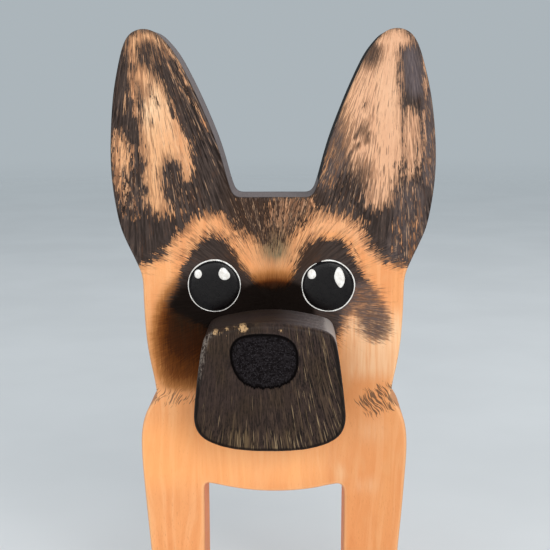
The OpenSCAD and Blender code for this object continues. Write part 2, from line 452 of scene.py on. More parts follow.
# straight strokes laid over the coat: ends, half width, light (1) or dark (-1)
STROKES = [
    ((-37.7, 158), (-37.6, 146), 0.45, 1), ((-29.8, 171.8), (-26.2, 166.8), 0.20, 1), ((-28.4, 165.6), (-25.6, 160.4), 0.26, 1),
    ((-25.1, 164.2), (-22.8, 160), 0.18, 1), ((-24.3, 159.6), (-22.8, 155.2), 0.18, 1), ((-27.4, 169.6), (-25, 165.2), 0.14, 1),
    ((-20.6, 154), (-17.6, 147.5), 0.16, 1), ((-22.8, 131.6), (-20.4, 126.4), 0.25, 1), ((-23.6, 163.8), (-20.9, 158.4), 0.14, 1), ((-26.4, 168.0), (-24.0, 163.6), 0.16, 1),
    ((-27.0, 163.0), (-24.6, 158.0), 0.14, 1), ((-22.3, 157.8), (-19.6, 151.8), 0.14, 1), ((-30.4, 170.2), (-28.2, 166.8), 0.18, 1), ((-31.8, 157), (-31.1, 154.6), 0.25, -1),
    ((-27.6, 153.6), (-27, 151.3), 0.4, -1), ((-33, 150.8), (-33, 149.3), 0.3, -1), ((-37.4, 151), (-36.9, 134), 0.8, -1),
    ((-38.9, 156), (-38.5, 145), 0.9, -1), ((-33.6, 160), (-33.2, 157), 0.2, -1), ((-34.2, 166.5), (-32.6, 163.6), 0.4, -1),
    ((-36.6, 157.5), (-36.5, 151.5), 0.5, -1), ((-38, 133.5), (-36.4, 131.5), 1.7, -1), ((-35.6, 138.6), (-36.8, 133), 0.4, -1),
    ((24.9, 155.3), (24.5, 153.9), 0.16, -1), ((26.8, 151), (24.8, 147.2), 0.05, -1), ((25.2, 150.3), (22.6, 145.8), 0.05, -1),
    ((26.0, 147.0), (25.4, 145.0), 0.18, -1), ((23.4, 144), (20.6, 140.6), 0.08, -1), ((33.3, 139), (33.0, 137.8), 0.16, -1),
    ((33.9, 162), (34.6, 152), 0.15, -1), ((35.0, 156), (35.4, 134), 0.12, -1),
    ((40.6, 166), (41.7, 157), 0.25, 1), ((41.0, 153), (41.4, 143), 0.35, 1),
    ((-9.9, 114.6), (-8.2, 111.2), 0.35, 1), ((21.3, 117.4), (24.4, 111.6), 0.1, -1), ((10.6, 129), (11.4, 127), 0.5, 1),
]
# parts of the front where the brush was used otherwise: outline, width of its edge, what changes
ZONES = [
    ([(-13.5, 131), (-13.5, 127), (-11.5, 122), (-8, 119), (-4, 116.5), (0, 113.5), (-1, 131)], 2.2, dict(alpha=0.91, brown=1.0, soft=1.5, dry=0.9, fleck=0.5, tone=0.25)),
    ([(-2, 131), (-2, 116), (0, 113.5), (3, 116.5), (8, 121), (12.5, 126), (12, 131)], 2.6, dict(alpha=0.50, brown=1.0, soft=1.8, dry=1.0, fleck=0.4, tone=0.20)),
    ([(-45, 148), (-41, 148), (-38.2, 144), (-37.4, 138), (-37.6, 134), (-41, 132), (-45, 136)], 0.8, dict(soft=1.6, brown=0.9, fleck=0.6)),
    ([(-45, 136), (-38, 136.5), (-35.6, 132), (-35, 124), (-42, 122)], 1.0, dict(alpha=0.66, soft=1.8, brown=1.0, fleck=0.8, dry=0.8)),
    ([(-36, 128), (-26, 128), (-26, 122), (-36, 122)], 1.2, dict(soft=1.8)),
    ([(-39.6, 169), (-38.5, 176), (-28, 176), (-27, 169), (-31, 164.5), (-36, 166)], 1.4, dict(alpha=0.69, soft=1.3, brown=0.9, dry=0.6, lines=0.7)),
    ([(-31, 175), (-25, 170), (-17, 152), (-12, 138), (-17, 138), (-24, 154), (-29, 166)], 1.6, dict(dry=1.15, alpha=0.97)),
    ([(-30, 138), (-24, 136), (-20, 127), (-27, 123), (-30, 131)], 1.4, dict(alpha=0.80, brown=0.8, dry=0.8)),
    ([(35.4, 170.5), (38.6, 171), (41, 160), (40.4, 157.5), (38, 157), (36.2, 159), (35.2, 164)], 2.2, dict(alpha=0.93, grey=1.0, soft=1.2, dry=0.5, lines=0.8)),
    ([(39.6, 172), (45, 168), (46, 150), (45, 132), (41, 132), (40.2, 150), (40.8, 160)], 1.2, dict(alpha=0.66, brown=0.8, dry=1.1, grey=0.5, soft=1.2, lines=0.9)),
    ([(34.6, 134), (41, 134), (42, 128), (42, 110), (30, 110), (33, 122)], 2.0, dict(alpha=0.74, brown=1.0, dry=1.1, soft=1.6, grey=0.3, lines=0.8)),
    ([(10, 133), (12.8, 144), (16.5, 154), (20.5, 152), (20.8, 142), (19, 136), (15, 131)], 1.8, dict(alpha=0.62, brown=1.0, dry=1.0, soft=1.7, grey=0.30)),
    ([(15, 134), (25, 138), (27, 130), (24, 124), (14, 126)], 2.0, dict(alpha=0.86, dry=0.8, soft=1.4)),
    ([(17, 152), (23, 167), (29, 167), (30.5, 150), (28.5, 136), (27, 130), (24, 136), (19, 138)], 2.2, dict(soft=0.8, glz=1.4, brown=0.5, lines=0.70)),
    ([(28, 168), (34.5, 168), (34.5, 132), (29, 130), (30.5, 150)], 1.6, dict(lines=0.30, brown=0.4)),
    ([(24, 138), (36, 138), (36, 124), (24, 124)], 2.0, dict(soft=1.5, lines=0.66, glz=1.0)),
    ([(14.5, 152), (20, 155.5), (26, 150), (28.5, 142), (27, 131), (20, 134), (14, 142)], 2.0, dict(soft=2.2, blur=0.40, glz=2.0, brown=0.85, lines=0.85)),
    ([(22, 163), (28, 163.5), (31, 168), (29.4, 172), (25, 172), (22, 168)], 1.0, dict(blur=0.45, alpha=0.70, soft=1.3, brown=0.8, lines=0.8)),
    ([(-37, 147), (-26, 149), (-20, 146), (-20, 131), (-26, 123), (-37, 123)], 2.5, dict(glz=0.7, push=0.42, brown=0.70)),
    ([(-39.5, 166), (-31, 166), (-30, 158), (-36, 156), (-41, 157)], 1.5, dict(glz=0.7, brown=0.8, lines=0.62)),
    ([(-37, 158), (-30, 160), (-25, 150), (-20, 140), (-24, 130), (-30, 128), (-36, 132)], 2.0, dict(lines=0.44)),
    ([(-33, 160), (-27, 156), (-21, 147), (-20.4, 134), (-24, 133), (-30, 144)], 1.6, dict(brown=0.32, glz=0.0, soft=0.8)),
    ([(-45, 149), (-38.4, 147), (-38, 132), (-45, 130)], 1.2, dict(lines=0.60)),
    ([(34.8, 158), (40.6, 158), (40.6, 133), (34.8, 133)], 1.4, dict(soft=1.0, glz=0.6, brown=0.5, lines=0.72)),
    ([(-36, 110), (-34, 117), (-29, 122), (-25, 124), (-24, 121), (-27, 117), (-31, 112)], 1.4, dict(push=0.9)),
    ([(-35, 106), (-26, 110), (-24, 100), (-20, 90), (-35, 90)], 2.0, dict(soft=0.7, blur=0.8, fleck=0.0)),
    ([(-36, 112), (-30, 122), (-20, 129), (-8, 124), (-4, 118), (4, 118), (10, 128), (20, 129), (30, 120), (34, 111), (27, 112), (22, 119), (12, 121), (7, 112),
      (0, 108), (-7, 112), (-14, 120.5), (-22, 118), (-26, 111)], 1.2, dict(soft=1.5, brown=0.8, glz=0.6, lines=0.37, tone=0.76)),
    ([(7, 127.5), (24, 127.5), (27, 119), (20, 122), (14, 122.5), (8, 120.5)], 1.5, dict(lines=0.60, glz=1.2, soft=1.9)),
    ([(-20, 129), (-8, 124.5), (-7, 119), (-13, 122), (-20, 123)], 1.5, dict(lines=0.52, glz=1.0)),
    ([(22.5, 107), (34, 104), (34, 86), (20, 86), (18, 97), (21, 102)], 2.0, dict(alpha=0.64, soft=1.3, blur=0.60, brown=0.8, grey=0.45)),
    ([(-37, 79.5), (-33, 79), (-26, 75.5), (-20, 74.5), (-20, 71.8), (-26, 70.4), (-30, 70), (-33, 71), (-37, 71)], 1.2, dict(lines=0.62)),
    ([(37, 79.5), (32.5, 78), (29.5, 76), (24.4, 74.6), (22.8, 71.6), (25, 68.2), (29.4, 66.6), (33, 69), (37, 72)], 1.5, dict(lines=0.95)),
]
# the left cheek's shade, partly burnt-in shading and partly painted shadow of the snout and the glasses: its outline,
# how fast it deepens inside, and how it pales down the face
CHEEK = [(-22, 113), (-25.4, 109.5), (-27.6, 105.5), (-29.6, 101.5), (-31.8, 97.5), (-32.6, 93), (-33.0, 87), (-32.9, 81), (-32.2, 76.5), (-29, 73.2),
         (-20, 72.6), (-8, 78), (-2, 90), (-4, 104), (-12, 112)]
CHEEK_IN = [(-8.0, 0.0), (-5.0, 0.05), (-2.8, 0.13), (-1.0, 0.30), (0.4, 0.50), (2.0, 0.73), (3.8, 0.91), (6.0, 1.0)]
CHEEK_DOWN = [(71.5, 0.0), (73.5, 0.16), (76, 0.38), (80, 0.58), (84, 0.70), (88, 0.81), (92, 0.92), (96, 1.0), (100, 0.98), (104, 0.80), (108, 0.45), (113, 0.0)]
# painted shadow of the glasses' bridge between the eyes, over the dark coat: its strength by height
BRIDGE_SHADOW = [(84, 0.0), (92, 0.6), (97, 0.86), (100, 0.93), (104.6, 0.97), (105.6, 0.86), (107, 0.46), (109, 0.25), (111, 0.11), (113.5, 0.0)]
BACKHEAD = [(-47, 101), (-36, 102), (-30, 105.5), (-20, 109), (-10, 107.5), (0, 104), (10, 107.5), (20, 109), (30, 105.5), (36, 102), (47, 101), (47, 184), (0, 184), (-47, 184)]


def sstep(v, a, b):
    t = np.clip((v - a) / (b - a), 0, 1)
    return t * t * (3 - 2 * t)


def board_fields(V, code):
    """What the paint does at each vertex: signed distances in mm and amounts from 0 to 1."""
    P = V[:, :2]
    n = len(P)
    front = (code == FACE) | (code == EASE) | (code == HOLE)
    back = (code == BACK) | (code == BACK_EASE)
    wall = code == WALL
    f = {"dark": np.full(n, -9.0), "alpha": np.ones(n), "brown": np.full(n, 0.45), "tone": np.ones(n), "shade": np.zeros(n), "haze": np.zeros(n),
         "dry": np.full(n, 0.35), "soft": np.full(n, 1.0), "blur": np.zeros(n), "fleck": np.zeros(n), "grey": np.zeros(n), "pale": np.zeros(n), "glz": np.zeros(n), "lines": np.zeros(n)}
    where = np.flatnonzero(front)
    where = where[P[where, 1] > 60]
    q = P[where]
    head = sdf(q, smooth(HEAD))
    tans = np.max([sdf(q, smooth(t)) for t in TANS], 0)
    eyes = np.maximum(sdf(q, smooth(EYE_L)), sdf(q, smooth(EYE_R)))
    # the two halves of the face patch meet in the middle
    eyes = np.where((np.abs(q[:, 0]) < 4) & (q[:, 1] < 104.2) & (q[:, 1] > 88), np.maximum(eyes, 104.4 - q[:, 1]), eyes)
    d = np.minimum(head, -tans)
    for a, b, r, sign in STROKES:
        s = (r - seg_dist(q, a, b)) * 3.6
        d = np.minimum(d, -s) if sign > 0 else np.maximum(d, s)
    d = np.maximum(d, eyes)
    local = {k: v[where] for k, v in f.items()}
    local["dark"] = d
    local["push"] = np.zeros(len(q))
    # stained wood is a lighter, cooler tan in the ears and warm orange on the face
    local["tone"] = 1 - sstep(q[:, 1], 121, 129) * sstep(np.abs(q[:, 0]), 13, 24) * 0.9
    local["dry"] += 0.25 * sstep(q[:, 1], 122, 130)
    local["brown"] += 0.25 * sstep(q[:, 1], 122, 130)
    local["soft"] = local["soft"] + 0.25 * sstep(q[:, 1], 126, 134) - 0.25 * (eyes > -3)
    for poly, w, change in ZONES:
        m = sstep(sdf(q, smooth(poly)), -w, w)
        for k, v in change.items():
            if k in local:
                local[k] = local[k] * (1 - m) + v * m
    local["dark"] = local["dark"] + local.pop("push")
    # bare specks inside the coat are dulled by the glaze
    local["brown"] = np.maximum(local["brown"], 0.88 * sstep(local["dark"], 0.2, 1.6))
    # inside the face patch the coat is full and smooth
    deep = sstep(eyes, 0.5, 4.0) * (q[:, 1] < 122) * (1 - sstep(q[:, 0], 21, 24) * sstep(-q[:, 1], -107, -103))
    local["alpha"] = local["alpha"] * (1 - deep) + deep
    local["dry"] = local["dry"] * (1 - 0.8 * deep)
    for k, v in local.items():
        f[k][where] = v
    p = P[front]
    inside, down, bridge = (np.array(t, float) for t in (CHEEK_IN, CHEEK_DOWN, BRIDGE_SHADOW))
    # the left cheek's shade: burnt-in shading together with painted shadow of the snout and the glasses
    wave = 0.18 * np.sin(p[:, 1] * 0.43 + 1.0) + 0.10 * np.sin(p[:, 1] * 1.31 + p[:, 0] * 0.3)
    cheek = np.interp(sdf(p, smooth(CHEEK)) + wave, inside[:, 0], inside[:, 1]) * np.interp(p[:, 1], down[:, 0], down[:, 1])
    # painted shadow of the glasses' bridge, bowed along a curve between the eyes
    sag = p[:, 1] + 0.030 * (p[:, 0] - 0.5) ** 2
    bridge_shadow = np.interp(np.maximum(sag, np.minimum(p[:, 1], 104)), bridge[:, 0], bridge[:, 1]) * (1 - sstep(p[:, 0], 9.5, 13.5)) * (1 - sstep(-p[:, 0], 12, 18))
    f["shade"][front] = np.maximum(cheek, bridge_shadow)
    # pale paint: dry-brushed tan in both ears, paler patches of wood low on the body, a paler right cheek, and painted
    # light on the belly under the snout where the snout's shadow falls
    f["pale"][front] = np.maximum.reduce([
        np.exp(-(((p[:, 0] + 33) / 3.6) ** 2 + ((p[:, 1] - 153.5) / 6.5) ** 2)),
        0.5 * np.exp(-(((p[:, 0] - 31.5) / 3.0) ** 2 + ((p[:, 1] - 160) / 9) ** 2)),
        0.40 * np.exp(-((p[:, 0] / 18) ** 2 + ((p[:, 1] - 56) / 7) ** 2)),
        0.62 * np.exp(-(((p[:, 0] - 19.0) / 1.6) ** 2 + ((p[:, 1] - 50.5) / 3.2) ** 2)),
        0.50 * np.exp(-(((p[:, 0] - 26.5) / 3.4) ** 2 + ((p[:, 1] - 47) / 2.4) ** 2)),
        0.45 * np.exp(-(((p[:, 0] + 4.7) / 1.3) ** 2 + ((p[:, 1] - 51) / 5.0) ** 2)),
        0.45 * np.exp(-(((p[:, 0] - 28.0) / 4.5) ** 2 + ((p[:, 1] - 63) / 4.0) ** 2)),
        0.92 * sstep(p[:, 0], 18, 22) * sstep(p[:, 1], 76, 82) * sstep(-p[:, 1], -101, -93)])
    f["haze"][front] = np.exp(-(((p[:, 0] - 0.6) / 4.2) ** 2 + ((p[:, 1] - 115.4) / 4.4) ** 2))
    f["dark"][wall] = sdf(P[wall], [(-60, 111), (60, 111), (60, 190), (-60, 190)])
    f["dry"][wall] = 0.2
    wx, wz = P[wall, 0], P[wall, 1]
    mid_ear = 34 - (175 - wz) * 0.14
    inner_l = (wx < 0) & (wx > -mid_ear) & (wz > 112)
    inner_r = (wx > 0) & (wx < mid_ear) & (wz > 131.5)
    ledge = (np.abs(wx) < 12.5) & (wz < 134) & (wz > 112)
    # painted light and shade on the walls: the left ear's inner wall and the ledge between the ears are painted lit
    # grey, the right ear's inner wall is painted shade, near black
    f["grey"][wall] = np.where(ledge, 0.95, np.where(inner_l, 1.0, 0.3))
    f["shade"][wall] = np.where(inner_r & ~ledge, 0.93, 0.0)
    f["dark"][back] = sdf(P[back], smooth(BACKHEAD))
    f["soft"][back] = 1.7
    f["dry"][back] = 0.7
    f["alpha"][back] = 0.93
    f["dark"] = np.clip(f["dark"], -9, 9)
    return f


def wood_colour(m, hi, lo, tone=None, hi2=None, lo2=None, upright=True):
    """Stained pine, grain upright or front to back. Returns colour, a height for the grain and a noise."""
    x, y, z = m.xyz()
    if not upright:
        y, z = z, y
    warp = m.noise(m.vec(m.mul(x, 0.05), m.mul(y, 0.05), m.mul(z, 0.012)), 2, 0.5)
    wx = m.add(x, m.mul(m.sub(warp, 0.5), 18))
    rings = m.noise(m.vec(m.mul(wx, 0.26), m.mul(y, 0.4), m.mul(z, 0.011)), 3, 0.5)
    fibre = m.noise(m.vec(m.mul(x, 5.0), m.mul(y, 5.0), m.mul(z, 0.20)), 3, 0.6)
    cloud = m.noise(m.vec(m.mul(x, 0.20), m.mul(y, 0.2), m.mul(z, 0.085)), 3, 0.6)
    pores = m.ramp(m.noise(m.vec(m.mul(x, 3.0), m.mul(y, 3.0), m.mul(z, 0.16)), 2, 0.5), 0.63, 0.74)
    g = m.ramp(m.add(m.add(m.mul(rings, 0.48), m.mul(fibre, 0.22)), m.mul(cloud, 0.30)), 0.38, 0.62, smooth=False)
    c = m.mix(g, lo, hi)
    if tone is not None:
        c = m.mix(tone, m.mix(g, lo2, hi2), c)
    band = m.noise(m.vec(m.mul(wx, 0.62), m.mul(y, 0.6), m.mul(z, 0.030)), 2, 0.55)
    c = m.mix(m.mul(m.ramp(band, 0.50, 0.66), 0.34), c, lin(249, 188, 134, 0.88))
    c = m.mix(m.mul(m.ramp(band, 0.48, 0.34), 0.30), c, lin(222, 138, 80, 0.86))
    c = m.mix(m.mul(m.ramp(cloud, 0.50, 0.68), 0.22), c, lin(240, 160, 102, 0.9))
    c = m.mix(m.mul(m.ramp(cloud, 0.48, 0.30), 0.25), c, lin(238, 188, 134, 0.9))
    c = m.mix(m.mul(pores, 0.26), c, lin(170, 102, 56))
    dash = m.ramp(m.noise(m.vec(m.mul(x, 4.6), m.mul(y, 4.6), m.mul(z, 0.75)), 2, 0.6), 0.60, 0.72)
    c = m.mix(m.mul(dash, m.ramp(cloud, 0.40, 0.60, 0.15, 0.42)), c, lin(176, 108, 62))
    h = m.add(m.mul(fibre, 0.35), m.mul(pores, -0.5))
    return c, h, fibre


def board_material():
    m = Mat("painted_board")
    x, y, z = m.xyz()
    A = {k: m.attr(k) for k in ("dark", "alpha", "brown", "tone", "shade", "haze", "dry", "soft", "blur", "fleck", "grey", "pale", "glz", "lines", "ease")}
    base, grain_h, fibre = wood_colour(m, W_HI, W_LO, A["tone"], E_HI, E_LO)
    # brush directions: hairs run to the ear tips on the ears, and away from the bridge on the face
    side = m.math("GREATER_THAN", x, 0.0)
    pole_x = m.fmix(side, -36.5, 34.5)
    de, ae = m.polar(pole_x, 190, 48)
    df, af = m.polar(0.0, 101, 27)
    ax = m.math("ABSOLUTE", x)
    neck = m.math("LESS_THAN", z, 82.0)
    df = m.fmix(neck, df, m.sub(m.mul(ax, 0.55), m.mul(z, 0.83)))
    curl = m.mul(m.sub(m.noise(m.vec(m.mul(x, 0.24), m.mul(y, 0.3), m.mul(z, 0.24)), 1, 0.5), 0.5), 3.0)
    af = m.fmix(neck, af, m.add(m.add(m.mul(ax, 0.83), m.mul(z, 0.55)), curl))
    ear = m.mul(m.ramp(m.add(z, m.mul(m.mx(m.sub(ax, 22.0), 0.0), 0.75)), 119, 127), m.ramp(ax, 9, 15))

    def hair(fu, fv, detail, rough, k=0.0, distort=0.0):
        a = m.noise(m.vec(m.mul(de, fu), m.mul(ae, fv), m.add(m.mul(y, 0.4), k)), detail, rough, distort=distort)
        b = m.noise(m.vec(m.mul(df, fu * 1.3), m.mul(af, fv), m.add(m.mul(y, 0.4), k + 7.3)), detail, rough, distort=distort)
        return m.mul(m.sub(m.fmix(ear, b, a), 0.5), 9.0)      # about one standard deviation

    mid = hair(0.16, 0.95, 2, 0.5)
    fine = hair(0.27, 2.9, 2, 0.6, 3.1)
    long_ = hair(0.05, 1.8, 3, 0.6, 11.7)
    hair_s = hair(0.42, 4.8, 1, 0.5, 23.3)
    grit = m.mul(m.sub(m.noise(m.vec(m.mul(x, 1.5), m.mul(y, 1.5), m.mul(z, 0.75)), 2, 0.6), 0.5), 9.0)
    line_n = hair(0.24, 3.4, 1, 0.5, 41.9)
    n = m.add(m.add(m.mul(mid, m.fmix(ear, 0.30, 0.42)), m.mul(fine, 0.58)), m.add(m.mul(hair_s, m.fmix(ear, 0.56, 0.42)), m.mul(long_, 0.30)))
    n = m.add(n, m.mul(grit, m.fmix(A["fleck"], 0.20, 0.85)))
    # how far into the coat, in strokes: by distance near its edge, by its thickness inside
    bias = m.add(m.mul(m.sub(A["alpha"], 0.5), 3.2), m.ramp(A["alpha"], 0.88, 1.0, 0.0, 3.0))
    deep = m.mn(m.math("DIVIDE", A["dark"], A["soft"]), bias)
    w = m.add(0.48, m.mul(A["blur"], 2.7))
    cover = m.math("DIVIDE", m.add(m.add(deep, m.mul(n, m.fmix(A["blur"], 1.0, 0.55))), w), m.mul(w, 2.0), clamp=True)
    cover = m.ramp(cover, 0.0, 1.0)
    # brown glaze streaks over the bare wood beside the coat
    n2 = m.add(m.mul(long_, 0.6), m.add(m.mul(hair_s, 0.5), m.mul(mid, -0.45)))
    glaze = m.ramp(m.add(m.mn(m.math("DIVIDE", m.add(A["dark"], m.add(1.6, A["glz"])), 1.7), 1.0), n2), -0.5, 1.4)
    glaze = m.mul(glaze, A["brown"])
    c = m.mix(m.mul(m.ramp(m.add(m.mul(long_, 0.7), m.mul(fine, 0.6)), 0.0, 2.0), m.fmix(A["tone"], 0.50, 0.06)), base, lin(190, 124, 78, 0.9))
    upr = m.mul(m.sub(m.noise(m.vec(m.mul(x, 1.3), m.mul(y, 1.3), m.mul(z, 0.07)), 3, 0.6), 0.5), 9.0)
    # pale paint, and on the belly under the snout painted light
    c = m.mix(m.mul(A["pale"], m.ramp(m.fmix(A["tone"], m.add(mid, m.mul(fine, 0.6)), upr), -2.0, 1.6, 0.28, 0.85)), c, lin(250, 210, 168, 0.9))
    c = m.mix(m.mul(m.ramp(m.add(hair_s, m.mul(mid, 0.6)), 0.2, 2.2), m.fmix(A["tone"], 0.40, 0.0)), c, lin(250, 210, 170, 0.9))
    c = m.mix(m.mul(m.ramp(x, -10, 36, 0.0, 0.37), m.ramp(z, 96, 76, 0.25, 1.0)), c, lin(196, 128, 74, 0.9))
    c = m.mix(m.mul(m.sub(1.0, A["tone"]), m.ramp(z, 158, 128, 0.0, 0.42)), c, lin(206, 146, 98, 0.9))
    # painted light: a warm orange lift on the belly under the snout, against the snout's shadow
    c = m.mix(m.mul(m.mul(m.ramp(z, 42, 52), m.ramp(z, 70, 60)), m.ramp(x, 20, 4, 0.0, 0.42)), c, lin(255, 172, 102, 1.0))
    # painted highlight along the eased edges of the board
    c = m.mix(m.mul(A["ease"], 0.30), c, lin(252, 204, 156, 0.95))
    # the right ear is a cooler, pinker tan
    c = m.mix(m.mul(m.sub(1.0, A["tone"]), m.ramp(x, 7, 13, 0.0, 0.58)), c, lin(222, 175, 145, 0.88))
    wall_y = m.mul(m.ramp(y, Y_FRONT + 0.8, Y_FRONT + 1.8), m.ramp(y, Y_BACK - 0.6, Y_BACK - 1.6))
    # painted light: the walls inside the leg gap, which stand in shade, are painted a brighter orange low down
    c = m.mix(m.mul(wall_y, m.mul(m.ramp(z, 60, 48, 0.0, 0.55), m.ramp(ax, 23, 21))), c, lin(252, 152, 90, 1.0))
    dull = m.mul(m.mul(A["brown"], m.ramp(A["dark"], -1.2, 1.5)), m.ramp(m.add(mid, n2), -1.5, 1.5, 0.62, 1.0))
    c = m.mix(m.mul(dull, 0.88), c, m.mix(m.ramp(A["tone"], 0.1, 0.6), lin(160, 126, 102, 0.9), lin(164, 124, 92, 0.9)))
    # fine grain of the brush over the tan in the ears
    c = m.mix(m.mul(m.mul(m.sub(1.0, A["tone"]), m.ramp(m.add(m.mul(grit, 0.8), m.mul(hair_s, 0.6)), 0.4, 2.4)), 0.42), c, lin(168, 122, 90, 0.9))
    c = m.mix(m.mul(glaze, 0.90), c, m.mix(m.ramp(m.add(fine, hair_s), -1.5, 1.8), lin(92, 58, 36, 0.9), lin(138, 92, 60, 0.9)))
    c = m.mix(m.mul(m.mn(m.mul(A["haze"], 1.25), 1.0), m.ramp(m.add(mid, fine), -2.6, 1.6, 0.60, 1.0)), c, lin(118, 102, 74, 0.85))
    # single hairs over the bare wood
    hl = m.mul(m.ramp(m.add(line_n, m.add(m.mul(A["lines"], 2.2), m.mul(mid, 0.25))), 1.85, 2.55), m.ramp(A["lines"], 0.04, 0.25))
    hl_c = m.mix(m.ramp(fine, -1.2, 1.2), lin(92, 66, 48, 0.9), lin(146, 108, 80, 0.9))
    hl_c = m.mix(m.mul(neck, m.ramp(x, 10, 20, 0.3, 0.75)), hl_c, lin(62, 45, 32, 0.85))
    c = m.mix(m.mul(hl, m.fmix(neck, 0.72, 0.84)), c, hl_c)
    even = m.ramp(A["dry"], 0.05, 0.75, 0.40, 1.0)      # the coat is even where it is full, streaky where it is dry
    dd = m.add(0.5, m.mul(m.sub(m.ramp(m.add(m.mul(long_, 0.7), m.mul(fine, 0.6)), -1.4, 1.4), 0.5), even))
    dark_c = m.mix(dd, D_LO, D_HI)
    mid_brow = m.mul(m.ramp(ax, 17, 9), m.mul(m.ramp(z, 106, 112), m.ramp(y, Y_FRONT + 1.2, Y_FRONT + 0.5)))
    dark_c = m.mix(m.mul(mid_brow, 0.60), dark_c, lin(56, 36, 22, 0.85))
    dark_c = m.mix(m.mul(m.ramp(m.add(mid, m.mul(hair_s, 0.6)), 0.6, 2.2), 0.40), dark_c, lin(84, 56, 40, 0.9))
    # a greyer coat where the zones ask for it, and painted light on the walls: a pale grey painted highlight on the
    # left ear's inner wall and the ledge
    dark_c = m.mix(m.mul(A["grey"], 0.85), dark_c, m.mix(m.ramp(fine, -1.6, 1.6), lin(84, 74, 76, 0.9), lin(112, 100, 100, 0.9)))
    dark_c = m.mix(m.mul(m.mul(wall_y, m.ramp(A["grey"], 0.8, 0.95)), 0.42), dark_c, lin(156, 144, 142, 0.9))
    c = m.mix(cover, c, dark_c)
    # where the brush ran dry the wood and the glaze show as fine scratches
    scratch = m.ramp(m.add(m.add(m.mul(long_, 0.75), m.mul(hair_s, 0.65)), m.mul(A["dry"], 1.0)), 1.75, 2.7)
    sc_c = m.mix(m.ramp(mid, -1.0, 1.0), lin(128, 100, 82, 0.9), lin(186, 148, 116, 0.9))
    c = m.mix(m.mul(m.mul(scratch, m.mn(m.mul(A["dry"], 1.4), 1.0)), m.mul(cover, 0.75)), c, sc_c)
    # painted shade, laid over everything: burnt-in shading with painted shadow of the snout and glasses on the left
    # cheek, painted shadow of the glasses' bridge between the eyes, and painted shade on the right ear's inner wall
    sh = m.add(A["shade"], m.mul(m.add(m.mul(fine, 0.030), m.mul(m.sub(fibre, 0.5), 0.42)), m.ramp(A["shade"], 0.0, 0.5)))
    rp = m.node("ShaderNodeValToRGB", {0: sh})
    stops = [(0.0, (216, 148, 94)), (0.25, (162, 102, 48)), (0.5, (102, 52, 8)), (0.75, (48, 16, 0)), (1.0, (4, 1, 0))]
    el = rp.color_ramp.elements
    while len(el) < len(stops):
        el.new(0.5)
    for e_, (p_, c_) in zip(el, stops):
        e_.position = p_
        e_.color = lin(*c_, 0.92)
    over = m.fmix(cover, m.ramp(sh, 0.0, 0.34, 0.0, 0.98), m.ramp(A["shade"], 0.05, 0.80, 0.0, 0.93))
    c = m.mix(over, c, m.mix(cover, rp.outputs[0], lin(9, 4, 2, 0.9)))
    # rubbed edges
    rub = m.mul(m.mul(A["ease"], m.ramp(m.add(fine, m.mul(mid, 0.5)), -0.2, 1.4)), cover)
    c = m.mix(m.mul(rub, 0.34), c, lin(120, 104, 96, 0.9))
    h = m.add(m.add(m.mul(cover, 0.35), m.mul(grain_h, 0.30)), m.mul(m.add(fine, m.mul(hair_s, 0.6)), m.fmix(cover, 0.03, 0.10)))
    rough = m.add(m.fmix(cover, 0.52, 0.60), m.mul(m.sub(fibre, 0.5), 0.22))
    return m.finish(c, rough, h, 0.10, spec=m.fmix(m.ramp(A["shade"], 0.1, 0.8), m.fmix(cover, 0.20, 0.09), 0.03))


# ------------------------------------------------------------------ board
SNOUT_PEGS = [(73.5, 8.1), (88.5, 8.1)]
LEG_X = (fp_hi[0] + abs(fp_lo[0])) / 2 - 6.0
peg_z = PAD_T + 0.55 * (pl_hi[2] - PAD_T)
board_holes = [(SNOUT_X, z, d / 2) for z, d in SNOUT_PEGS] + [(-LEG_X, peg_z, 3.05), (LEG_X, peg_z, 3.05)]
V, F, code, ease = plate(board_ring, Y_FRONT, Y_BACK, 0.95, 0.95, 0.62, 1.5, 1.35, 11, board_holes, 10.0)
# the finer bends stay within the box of the plain board
V[:, 0] = np.clip(V[:, 0], bd_lo[0], bd_hi[0])
V[:, 1] = np.clip(V[:, 1], bd_lo[2], bd_hi[2])
fields = board_fields(V, code)
fields["ease"] = ease
board = make("board_body", np.column_stack([V[:, 0], V[:, 2], V[:, 1]]), F, fields)
board.data.materials.append(board_material())
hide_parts("dog_board")
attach(board, "root")

# ------------------------------------------------------------------ snout
NOSE = [(-11.3, 89.5), (-11, 92), (-9.6, 94.2), (-6.5, 95.3), (-2, 95.5), (2, 95.2), (5, 94), (6.8, 91.6), (7.1, 88.5), (6.9, 85.5),
        (5.6, 82.9), (3, 81.2), (-0.5, 80.4), (-4.5, 80.5), (-7.6, 81.6), (-9.8, 84.2), (-10.9, 87)]
V, F, code, ease = plate(snout_ring, Y_SNOUT, Y_FRONT, 1.5, 0.12, 0.5, 1.6, 0.9, 31, (), 0.0, ease_steps=7, wobble=0.02, uneven=0.03)
nose_d = sdf(V[:, :2], smooth(NOSE))
front = (code == FACE) | ((code == EASE) & (ease > 0.05))
nose_d = np.where(front, nose_d, -6)
rag = 0.35 * np.sin(V[:, 0] * 5.1 + 0.7) * np.sin(V[:, 0] * 2.3) * sstep(-V[:, 1], -84, -81.5)
lift = 0.30 * sstep(nose_d + rag, -0.15, 0.75) * (code == FACE)
V[:, 2] -= lift
sn = {"nose": np.clip(nose_d + rag, -6, 6), "ease": ease, "front": front.astype(float)}
wear = 0.25 + 0.30 * sstep(V[:, 0], 3, 10) + 0.22 * sstep(-V[:, 1], -74, -66) - 0.16 * sstep(-V[:, 0], 8, 14) * (V[:, 1] > 74)
sn["wear"] = np.clip(wear * 0.7 - 0.14 + 0.30 * sstep(-V[:, 1], -71, -65) * np.exp(-(V[:, 0] / 9) ** 2), 0, 1)
flecks = np.zeros(len(V))
